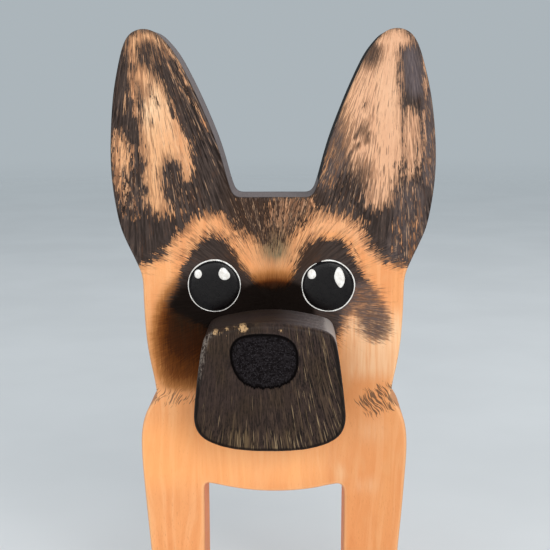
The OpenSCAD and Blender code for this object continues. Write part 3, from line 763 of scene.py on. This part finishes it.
for fx, fz, fr, k in [(-7.8, 97.0, 1.0, 1.0), (-6.7, 96.8, 0.55, 0.8), (-11.8, 96.6, 0.6, 0.7), (-15.0, 95.8, 0.7, 0.8), (-13.6, 95.4, 0.6, 0.5),
                      (2.4, 96.3, 0.6, 0.6), (-18.8, 91.5, 0.5, 0.6), (-18.4, 93.2, 0.5, 0.7), (-9.8, 96.9, 0.5, 0.5), (-12.0, 94.8, 0.5, 0.35)]:
    flecks = np.maximum(flecks, k * np.exp(-(((V[:, 0] - fx) / fr) ** 2 + ((V[:, 1] - fz) / (fr * 1.3)) ** 2)))
sn["fleck"] = flecks * (V[:, 2] < Y_SNOUT + 2.5)
# painted highlight: the top is painted paler towards the right, brightest along its rounded right corner where the
# light catches it
onwall = sstep(V[:, 2], Y_SNOUT + 0.4, Y_SNOUT + 1.6) * (V[:, 1] > 88)
sn["top"] = onwall * (0.08 + 0.82 * sstep(V[:, 0], -1, 12) + 0.85 * np.exp(-((V[:, 0] - 15.9) / 1.5) ** 2))
snout = make("snout_body", np.column_stack([V[:, 0], V[:, 2], V[:, 1]]), F, sn)


def snout_material():
    m = Mat("snout_paint")
    x, y, z = m.xyz()
    nose, wear_a, ease_a, fleck = m.attr("nose"), m.attr("wear"), m.attr("ease"), m.attr("fleck")
    # strokes run down the face and lean out a little towards the lower right
    lean_x = m.add(x, m.mul(m.mul(m.sub(80.0, z), m.add(x, 6)), -0.012))
    onf = m.attr("front")
    lean_x = m.fmix(onf, m.add(m.mul(y, 0.9), 40.0), lean_x)
    y = m.add(y, m.mul(m.sub(1.0, onf), m.mul(x, 0.25)))
    d1 = m.noise(m.vec(m.mul(lean_x, 1.15), m.mul(y, 0.35), m.mul(z, 0.085)), 3, 0.6)
    d2 = m.noise(m.vec(m.mul(lean_x, 3.2), m.mul(y, 0.5), m.mul(z, 0.20)), 3, 0.6)
    d3 = m.noise(m.vec(m.mul(lean_x, 4.6), m.mul(y, 1.2), m.mul(z, 0.60)), 2, 0.6)
    big = m.noise(m.vec(m.mul(x, 0.09), m.mul(y, 0.1), m.mul(z, 0.07)), 2, 0.5)
    grit = m.noise(m.vec(m.mul(x, 2.2), m.mul(y, 2.2), m.mul(z, 1.6)), 3, 0.6)
    top = m.attr("top")
    s1 = m.noise(m.vec(m.mul(lean_x, 3.1), m.mul(y, 0.3), m.mul(z, 0.085)), 2, 0.5)
    s2 = m.noise(m.vec(m.mul(lean_x, 4.2), m.add(m.mul(y, 0.3), 9.0), m.mul(z, 0.13)), 2, 0.5)
    s3 = m.noise(m.vec(m.mul(lean_x, 0.55), m.add(m.mul(y, 0.2), 4.0), m.mul(z, 0.07)), 2, 0.5)
    base = m.mix(m.ramp(big, 0.38, 0.62), lin(58, 44, 34, 0.76), lin(59, 45, 40, 0.76))
    base = m.mix(m.mul(m.ramp(m.add(m.mul(d2, 0.5), m.add(m.mul(d3, 0.3), m.mul(grit, 0.2))), 0.53, 0.43), m.ramp(wear_a, 0.0, 0.2, 0.62, 0.88)), base, lin(19, 14, 12, 0.6))
    streak = m.add(m.mul(d1, 0.45), m.add(m.mul(d2, 0.35), m.mul(d3, 0.20)))
    c = m.mix(m.mul(m.ramp(m.add(streak, m.mul(wear_a, 0.11)), 0.535, 0.640), 0.50), base, lin(88, 70, 54, 0.8))
    # thin scratches where the brush ran dry
    lift_w = m.add(m.mn(m.mul(wear_a, 0.42), 0.125), m.mul(m.sub(s3, 0.5), 0.26))
    c = m.mix(m.mul(m.ramp(m.add(s1, lift_w), 0.700, 0.765), 0.66), c, lin(112, 91, 66, 0.8))
    c = m.mix(m.mul(m.ramp(m.add(s2, lift_w), 0.745, 0.800), 0.78), c, lin(158, 134, 102, 0.8))
    fl = m.add(m.mul(fleck, 1.5), m.mul(m.sub(m.add(m.mul(grit, 0.5), m.mul(d3, 0.5)), 0.5), 3.6))
    c = m.mix(m.mul(m.ramp(fl, 0.62, 1.05), m.ramp(fleck, 0.02, 0.15)), c, lin(186, 150, 108, 0.85))
    # painted highlight on the top, brightest on its rounded right corner
    c = m.mix(m.mul(top, m.ramp(m.add(m.mul(d1, 0.5), m.mul(grit, 0.5)), 0.38, 0.60, 0.35, 1.0)), c, lin(128, 118, 118, 0.8))
    c = m.mix(m.ramp(m.add(top, m.mul(m.sub(grit, 0.5), 0.9)), 0.80, 1.35), c, lin(186, 176, 170, 0.85))
    # the eased edge stays near black at the sides and the bottom, and is rubbed pale high on the left
    edge_f = m.mul(m.attr("front"), m.ramp(ease_a, 0.25, 0.8))
    rub_at = m.mul(m.ramp(x, -14, -17.5), m.ramp(z, 80, 88))
    c = m.mix(m.mul(m.mul(edge_f, m.ramp(z, 95.0, 92.5)), m.sub(0.80, m.mul(rub_at, 0.6))), c, lin(15, 11, 10, 0.6))
    rub = m.mul(m.mul(ease_a, rub_at), m.ramp(m.add(m.mul(d2, 0.5), m.mul(grit, 0.5)), 0.47, 0.56))
    c = m.mix(m.mul(rub, 0.75), c, lin(150, 138, 128, 0.8))
    # the nose: flat black with a darker outline, brush ends at its lower edge
    e = m.add(m.mul(m.sub(d2, 0.5), 1.6), m.mul(m.sub(grit, 0.5), 0.9))
    amp = m.ramp(z, 84.5, 81.0, 0.25, 1.0)
    nd = m.add(nose, m.mul(e, amp))
    nose_cov = m.ramp(nd, -0.16, 0.16)
    rim = m.mul(m.ramp(nd, 1.15, 0.45), nose_cov)
    nb = m.noise(m.vec(m.mul(x, 0.45), m.mul(y, 0.5), m.mul(m.add(z, m.mul(m.mul(x, x), 0.03)), 2.0)), 3, 0.6)
    speck = m.noise(m.vec(m.mul(x, 3.4), m.mul(y, 3.4), m.mul(z, 3.4)), 1, 0.5)
    nose_c = m.mix(m.ramp(m.add(m.mul(grit, 0.55), m.mul(nb, 0.45)), 0.42, 0.62), lin(15, 11, 12, 0.7), lin(38, 34, 36, 0.75))
    nose_c = m.mix(m.mul(m.ramp(speck, 0.58, 0.72), 0.55), nose_c, lin(74, 70, 74, 0.75))
    nose_c = m.mix(rim, nose_c, lin(7, 4, 4, 0.6))
    c = m.mix(nose_cov, c, nose_c)
    h = m.add(m.mul(d2, 0.6), m.add(m.mul(d1, 0.35), m.mul(m.mul(grit, nose_cov), 0.9)))
    rough = m.add(m.fmix(nose_cov, 0.43, 0.62), m.mul(m.sub(d2, 0.5), 0.25))
    return m.finish(c, rough, h, 0.13, spec=m.fmix(nose_cov, 0.09, 0.025))


snout.data.materials.append(snout_material())
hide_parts("snout_block")
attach(snout, "root")


# ------------------------------------------------------------------ painted eyes
def blob(name, ring, y0, height, rings=7, crown=1.0):
    """A drop of enamel lying on the board: a closed outline in (x, z) raised to a low dome."""
    ring = ccw(np.array(ring, float))
    c = ring.mean(0)
    n = len(ring)
    V, F = [], []
    for k in range(rings):
        t = k / rings
        p = c + (ring - c) * (1 - t)
        h = height * (1 - (1 - t) ** 4) ** 0.5 if t > 0 else 0.0
        V += [(a, y0 - h * crown, b) for a, b in p]
    V.append((c[0], y0 - height, c[1]))
    for k in range(rings - 1):
        for i in range(n):
            i2 = (i + 1) % n
            F.append([k * n + i, k * n + i2, (k + 1) * n + i2, (k + 1) * n + i])
    top = len(V) - 1
    F += [[(rings - 1) * n + i, (rings - 1) * n + (i + 1) % n, top] for i in range(n)]
    base = len(V)
    V += [(a, y0 + 0.25, b) for a, b in ring]
    F += [[base + i, base + (i + 1) % n, (i + 1) % n, i] for i in range(n)]
    F.append([base + i for i in range(n)][::-1])
    return make(name, V, F)


def ellipse(cx, cz, rx, rz, n=96, wobble=0.0, seed=0):
    s = np.arange(n) / n
    a = 2 * math.pi * s
    w = 1 + wobble * wob(s, seed, 4) if wobble else 1.0
    return np.stack([cx + rx * w * np.cos(a), cz + rz * w * np.sin(a)], 1)


def ribbon(name, cx, cz, rx, rz, y0, marks, height, n=260):
    """A hand-drawn ring of raised enamel. marks are (turn in degrees, half width in mm); it breaks where the width falls to nothing."""
    V, F = [], []
    ang = np.arange(n) * 360.0 / n
    ma = np.array([m_[0] for m_ in marks], float)
    mw = np.array([m_[1] for m_ in marks], float)
    w = 0.80 * np.interp(ang, np.concatenate([ma - 360, ma, ma + 360]), np.tile(mw, 3))
    w = w * (1 + 0.10 * np.sin(np.radians(ang * 9)) + 0.06 * np.sin(np.radians(ang * 23 + 40)))
    prof = [(-1, 0.25), (-1, -0.0), (-0.72, -0.72), (0, -1.0), (0.72, -0.72), (1, 0.0), (1, 0.25)]
    keep = w > 0.06
    idx = {}
    for i in range(n):
        if not keep[i]:
            continue
        a = math.radians(ang[i])
        ex, ez = math.cos(a), math.sin(a)
        wr = 1 + 0.006 * math.sin(5 * a + 1.0) + 0.004 * math.sin(3 * a)
        idx[i] = len(V)
        hgt = height * min(1.0, w[i] / 0.2)
        for u, h in prof:
            yy = y0 + (h if h > 0 else h * hgt)
            V.append((cx + ex * (rx * wr + u * w[i]), yy, cz + ez * (rz * wr + u * w[i])))
    k = len(prof)
    for i in range(n):
        j = (i + 1) % n
        if i in idx and j in idx:
            for q in range(k):
                q2 = (q + 1) % k
                F.append([idx[i] + q, idx[j] + q, idx[j] + q2, idx[i] + q2])
        if i in idx and j not in idx:
            F.append([idx[i] + q for q in range(k)])
        if j in idx and i not in idx:
            F.append([idx[j] + q for q in range(k)][::-1])
    return make(name, V, F)


def enamel(name, hi, lo, rough, spec=0.5, coat=0.0):
    m = Mat(name)
    x, y, z = m.xyz()
    n1 = m.noise(m.vec(m.mul(x, 0.9), m.mul(y, 0.9), m.mul(z, 0.9)), 3, 0.55)
    n2 = m.noise(m.vec(m.mul(x, 4.5), m.mul(y, 4.5), m.mul(z, 4.5)), 2, 0.5)
    c = m.mix(m.ramp(m.add(m.mul(n1, 0.7), m.mul(n2, 0.3)), 0.35, 0.65), lo, hi)
    return m.finish(c, m.add(rough, m.mul(m.sub(n1, 0.5), 0.12)), m.add(n1, m.mul(n2, 0.3)), 0.03, spec=spec, coat=coat, coat_rough=0.08)


black = enamel("enamel_black", lin(14, 11, 11), lin(6, 4, 5), 0.28, 0.16, 0.0)
white = enamel("enamel_white", lin(246, 244, 240, 0.9), lin(214, 208, 200, 0.9), 0.34, 0.5, 0.2)

EYES = [("left", -16.45, 104.9, 7.25, 7.25), ("right", 15.25, 104.9, 7.3, 7.15)]
RING = {
    "left": [(0, 0.10), (18, 0.20), (35, 0.25), (60, 0.27), (90, 0.26), (120, 0.25), (140, 0.20), (160, 0.15), (185, 0.15), (215, 0.16), (240, 0.14), (270, 0.11), (300, 0.12), (325, 0.14), (345, 0.08)],
    "right": [(0, 0.20), (20, 0.22), (45, 0.22), (75, 0.25), (96, 0.27), (104, 0.16), (107, 0.02), (113, 0.02), (116, 0.10), (130, 0.14), (150, 0.20), (165, 0.20), (185, 0.12), (215, 0.22), (240, 0.17), (270, 0.17), (300, 0.23), (330, 0.22)],
}
GLINTS = {
    "left": [[(-15.4, 107.9), (-15.3, 109.0), (-14.6, 110.1), (-13.5, 110.1), (-12.6, 109.2), (-11.8, 108.0), (-12.0, 107.0), (-13.2, 106.3), (-14.6, 106.6)],
             [(-22.0, 108.3), (-21.6, 109.4), (-20.5, 109.6), (-19.7, 108.8), (-19.8, 107.5), (-20.7, 106.8), (-21.7, 107.2)]],
    "right": [[(16.6, 107.2), (17.0, 109.2), (18.1, 110.5), (19.2, 109.4), (20.0, 107.4), (19.9, 105.6), (18.9, 103.8), (17.7, 104.8)],
              [(9.5, 107.6), (9.6, 109.0), (10.7, 109.8), (11.7, 109.2), (12.1, 107.9), (11.5, 106.9), (10.2, 106.7)]],
}
for side_name, cx, cz, rx, rz in EYES:
    pupil = blob(side_name + "_eye_enamel", ellipse(cx, cz, rx, rz, 120, 0.006, 5), Y_FRONT, 0.42)
    pupil.data.materials.append(black)
    ring = ribbon(side_name + "_eye_ring", cx, cz, rx, rz, Y_FRONT - 0.02, RING[side_name], 0.20)
    ring.data.materials.append(white)
    parts = [pupil, ring]
    for k, g in enumerate(GLINTS[side_name]):
        glint = blob("%s_eye_glint_%d" % (side_name, k + 1), bend_ring(g, 6), Y_FRONT - 0.30, 0.26, rings=5)
        glint.data.materials.append(white)
        parts.append(glint)
    for p in parts:
        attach(p, "root")


# ------------------------------------------------------------------ paws
def paw(name, lo, hi, node):
    """A block with a rounded front and two toe grooves, cut flat where it meets the board."""
    cx, w = (lo[0] + hi[0]) / 2, hi[0] - lo[0]
    r = w * 0.36
    x0, x1, y0 = lo[0], hi[0], lo[1]
    back = hi[1] + 9
    pts = [(x0, back), (x0, y0 + r)]
    for k in range(1, 12):
        a = math.pi + math.pi / 2 * k / 12
        pts.append((x0 + r + r * math.cos(a), y0 + r + r * math.sin(a)))
    pts += [(x0 + r, y0), (x1 - r, y0)]
    for k in range(1, 12):
        a = -math.pi / 2 + math.pi / 2 * k / 12
        pts.append((x1 - r + r * math.cos(a), y0 + r + r * math.sin(a)))
    pts += [(x1, y0 + r), (x1, back)]
    ring = ccw(resample(np.array(pts), 0.5))
    V, F, code, ease = plate(ring, hi[2], lo[2], 5.4, 0.8, 0.7, 1.4, 0.7, 51, (), 0.0, ease_steps=12, wobble=0.0, uneven=0.012)
    # the top rolls down to the toes
    t = np.clip((hi[1] - V[:, 1]) / (hi[1] - y0), 0, 1)
    k = (V[:, 2] - lo[2]) / (hi[2] - lo[2])
    V[:, 2] -= np.clip(k, 0, 1) ** 2 * 2.2 * t ** 2.2
    # toe grooves, deepest at the front
    for gx in (-w * 0.165, w * 0.165):
        bow = 0.6 * (1 if gx > 0 else -1) * (1 - t)
        d = np.exp(-((V[:, 0] - cx - gx + bow) / 0.62) ** 2)
        depth = 1.15 * d * sstep(t, 0.34, 0.85)
        V[:, 1] += depth * (1 - np.clip(k - 0.55, 0, 1)) * sstep(t, 0.5, 0.9)
        V[:, 2] -= depth * 0.9 * np.clip((k - 0.45) * 2, 0, 1)
    g = np.zeros(len(V))
    for gx in (-w * 0.165, w * 0.165):
        bow = 0.6 * (1 if gx > 0 else -1) * (1 - t)
        g = np.maximum(g, np.exp(-((V[:, 0] - cx - gx + bow) / 0.55) ** 2) * sstep(t, 0.40, 0.75) * (k > 0.1))
    ob = make(name, V, F, {"ease": ease * (V[:, 2] > (lo[2] + hi[2]) / 2), "groove": g})
    bm = bmesh.new()
    bm.from_mesh(ob.data)
    cut = bmesh.ops.bisect_plane(bm, geom=bm.verts[:] + bm.edges[:] + bm.faces[:], plane_co=(0, hi[1] * MM, 0), plane_no=(0, 1, 0), clear_outer=True)
    edges = [e for e in cut["geom_cut"] if isinstance(e, bmesh.types.BMEdge)]
    bmesh.ops.holes_fill(bm, edges=edges, sides=0)
    bmesh.ops.recalc_face_normals(bm, faces=bm.faces)
    for f in bm.faces:
        f.smooth = len(f.verts) < 20
    bm.to_mesh(ob.data)
    bm.free()
    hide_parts(node)
    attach(ob, "root")
    return ob


def paw_material():
    m = Mat("stained_pine")
    x, y, z = m.xyz()
    base, gh, fibre = wood_colour(m, lin(242, 168, 108, 0.86), lin(230, 150, 92, 0.86), upright=False)
    g = m.attr("groove")
    fine = m.noise(m.vec(m.mul(x, 3.0), m.mul(y, 0.8), m.mul(z, 1.2)), 3, 0.6)
    c = m.mix(m.mul(m.mul(m.ramp(m.add(g, m.mul(m.sub(fine, 0.5), 0.8)), 0.35, 0.75), m.ramp(g, 0.04, 0.3)), 0.85), base, lin(60, 40, 28, 0.9))
    # painted highlight along the eased top edges
    c = m.mix(m.mul(m.attr("ease"), m.mul(m.ramp(fine, 0.45, 0.65), 0.18)), c, lin(252, 206, 158, 0.95))
    return m.finish(c, m.add(0.50, m.mul(m.sub(fibre, 0.5), 0.22)), m.add(m.mul(gh, 0.5), m.mul(fine, 0.3)), 0.08, spec=0.36)


pm = paw_material()
for nm, lo, hi, node in (("left_paw_block", pl_lo, pl_hi, "left_paw"), ("right_paw_block", pr_lo, pr_hi, "right_paw")):
    p = paw(nm, lo, hi, node)
    p.data.materials.append(pm)


# ------------------------------------------------------------------ dowels and felt pads keep their CAD shape
def dowel_material():
    m = Mat("dowel_wood")
    x, y, z = m.xyz()
    f = m.noise(m.vec(m.mul(x, 4), m.mul(y, 0.2), m.mul(z, 4)), 3, 0.6)
    r = m.noise(m.vec(m.mul(x, 0.8), m.mul(y, 0.05), m.mul(z, 0.8)), 2, 0.5)
    c = m.mix(m.ramp(m.add(m.mul(f, 0.5), m.mul(r, 0.5)), 0.35, 0.65), lin(188, 146, 98), lin(222, 186, 138))
    return m.finish(c, m.add(0.6, m.mul(m.sub(f, 0.5), 0.2)), f, 0.08, spec=0.3)


def felt_material():
    m = Mat("felt")
    x, y, z = m.xyz()
    a = m.noise(m.vec(m.mul(x, 2.2), m.mul(y, 2.2), m.mul(z, 2.2)), 5, 0.7, distort=1.2)
    b = m.noise(m.vec(m.mul(x, 9), m.mul(y, 9), m.mul(z, 9)), 3, 0.6)
    c = m.mix(m.ramp(m.add(m.mul(a, 0.6), m.mul(b, 0.4)), 0.35, 0.65), lin(52, 34, 24), lin(98, 70, 52))
    return m.finish(c, m.add(0.92, m.mul(m.sub(b, 0.5), 0.1)), m.add(a, m.mul(b, 0.6)), 0.22, spec=0.15, sheen=0.5)


dm, fm = dowel_material(), felt_material()
for node, mat in (("snout_dowels", dm), ("paw_dowels", dm), ("felt_pads", fm)):
    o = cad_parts[node]
    o.data.materials.clear()
    o.data.materials.append(mat)


# ------------------------------------------------------------------ floor, light and camera
def floor():
    me = bpy.data.meshes.new("floor")
    n, rings = 96, 24
    V, F = [(0, 0, 0)], []
    for k in range(1, rings + 1):
        r = 3.2 * (k / rings) ** 1.6
        V += [(r * math.cos(2 * math.pi * i / n), r * math.sin(2 * math.pi * i / n), 0) for i in range(n)]
    F += [(0, 1 + i, 1 + (i + 1) % n) for i in range(n)]
    for k in range(rings - 1):
        a, b = 1 + k * n, 1 + (k + 1) * n
        F += [(a + i, b + i, b + (i + 1) % n, a + (i + 1) % n) for i in range(n)]
    me.from_pydata(V, [], F)
    ob = bpy.data.objects.new("floor", me)
    bpy.context.scene.collection.objects.link(ob)
    m = Mat("floor_pale")
    x, y, z = m.xyz()
    n1 = m.noise(m.vec(m.mul(x, 0.01), m.mul(y, 0.01), 0.0), 3, 0.5)
    c = m.mix(m.ramp(n1, 0.3, 0.7), (0.70, 0.71, 0.72, 1), (0.74, 0.75, 0.76, 1))
    b = m.node("ShaderNodeBsdfPrincipled", {"Base Color": c, "Roughness": 0.75, "Specular IOR Level": 0.2})
    t = m.node("ShaderNodeBsdfTransparent")
    r = m.math("SQRT", m.add(m.mul(x, x), m.mul(y, y)))
    fade = m.ramp(r, 500, 2400)
    mx = m.node("ShaderNodeMixShader", {0: fade})
    m.t.links.new(b.outputs[0], mx.inputs[1])
    m.t.links.new(t.outputs[0], mx.inputs[2])
    m.t.links.new(mx.outputs[0], m.out.inputs[0])
    me.materials.append(m.m)


floor()


def area(name, loc, target, size, power, color=(1, 1, 1)):
    l = bpy.data.lights.new(name, "AREA")
    l.shape = "RECTANGLE"
    l.size, l.size_y = size
    l.energy = power
    l.color = color
    o = bpy.data.objects.new(name, l)
    o.location = loc
    o.rotation_euler = (Vector(target) - Vector(loc)).to_track_quat("-Z", "Y").to_euler()
    bpy.context.scene.collection.objects.link(o)
    return o


MID = (0, 0, 0.09)
area("key", (0.50, -1.22, 0.56), MID, (0.9, 0.8), 12.4, (1.0, 0.985, 0.96))
area("fill", (-0.55, -1.30, 0.26), MID, (1.1, 1.0), 8.6, (1.0, 0.99, 0.98))
area("top", (0.35, 0.15, 1.2), MID, (0.6, 0.5), 4.2)

w = bpy.data.worlds.new("studio")
bpy.context.scene.world = w
w.use_nodes = True
bg = w.node_tree.nodes["Background"]
bg.inputs[0].default_value = lin(190, 200, 206)
bg.inputs[1].default_value = 0.8

cam_d = bpy.data.cameras.new("camera")
cam_d.sensor_width = 36.0
cam_d.lens = 1146.0 / 550.0 * 36.0
cam_d.clip_start = 0.01
cam_d.clip_end = 20
cam = bpy.data.objects.new("camera", cam_d)
bpy.context.scene.collection.objects.link(cam)
# the board's normal meets the picture at this place, right of and above its middle
nx, ny = (297.0 - 275.0) / 1146.0, (85.0 - 275.0) / 1146.0
nrm = Vector((nx, ny, 1.0)).normalized()          # +Y of the row, in camera axes x right, y down, z forward
up = Vector((0, -1, 0))
zc = (up - nrm * up.dot(nrm)).normalized()        # +Z of the row
xc = nrm.cross(zc)
if xc.x < 0:
    xc = -xc
R = Matrix((xc, nrm, zc)).transposed()            # columns: row axes seen from the camera
Rt = R.transposed()                               # camera axes seen from the row
right, down, fwd = Rt @ Vector((1, 0, 0)), Rt @ Vector((0, 1, 0)), Rt @ Vector((0, 0, 1))
M = Matrix((right, -down, -fwd)).transposed().to_4x4()
M.translation = Vector((6.6, Y_FRONT - 314.0, 160.0)) * MM
cam.matrix_world = M
bpy.context.scene.camera = cam
bpy.context.scene.view_settings.view_transform = "Standard"
bpy.context.scene.view_settings.look = "None"
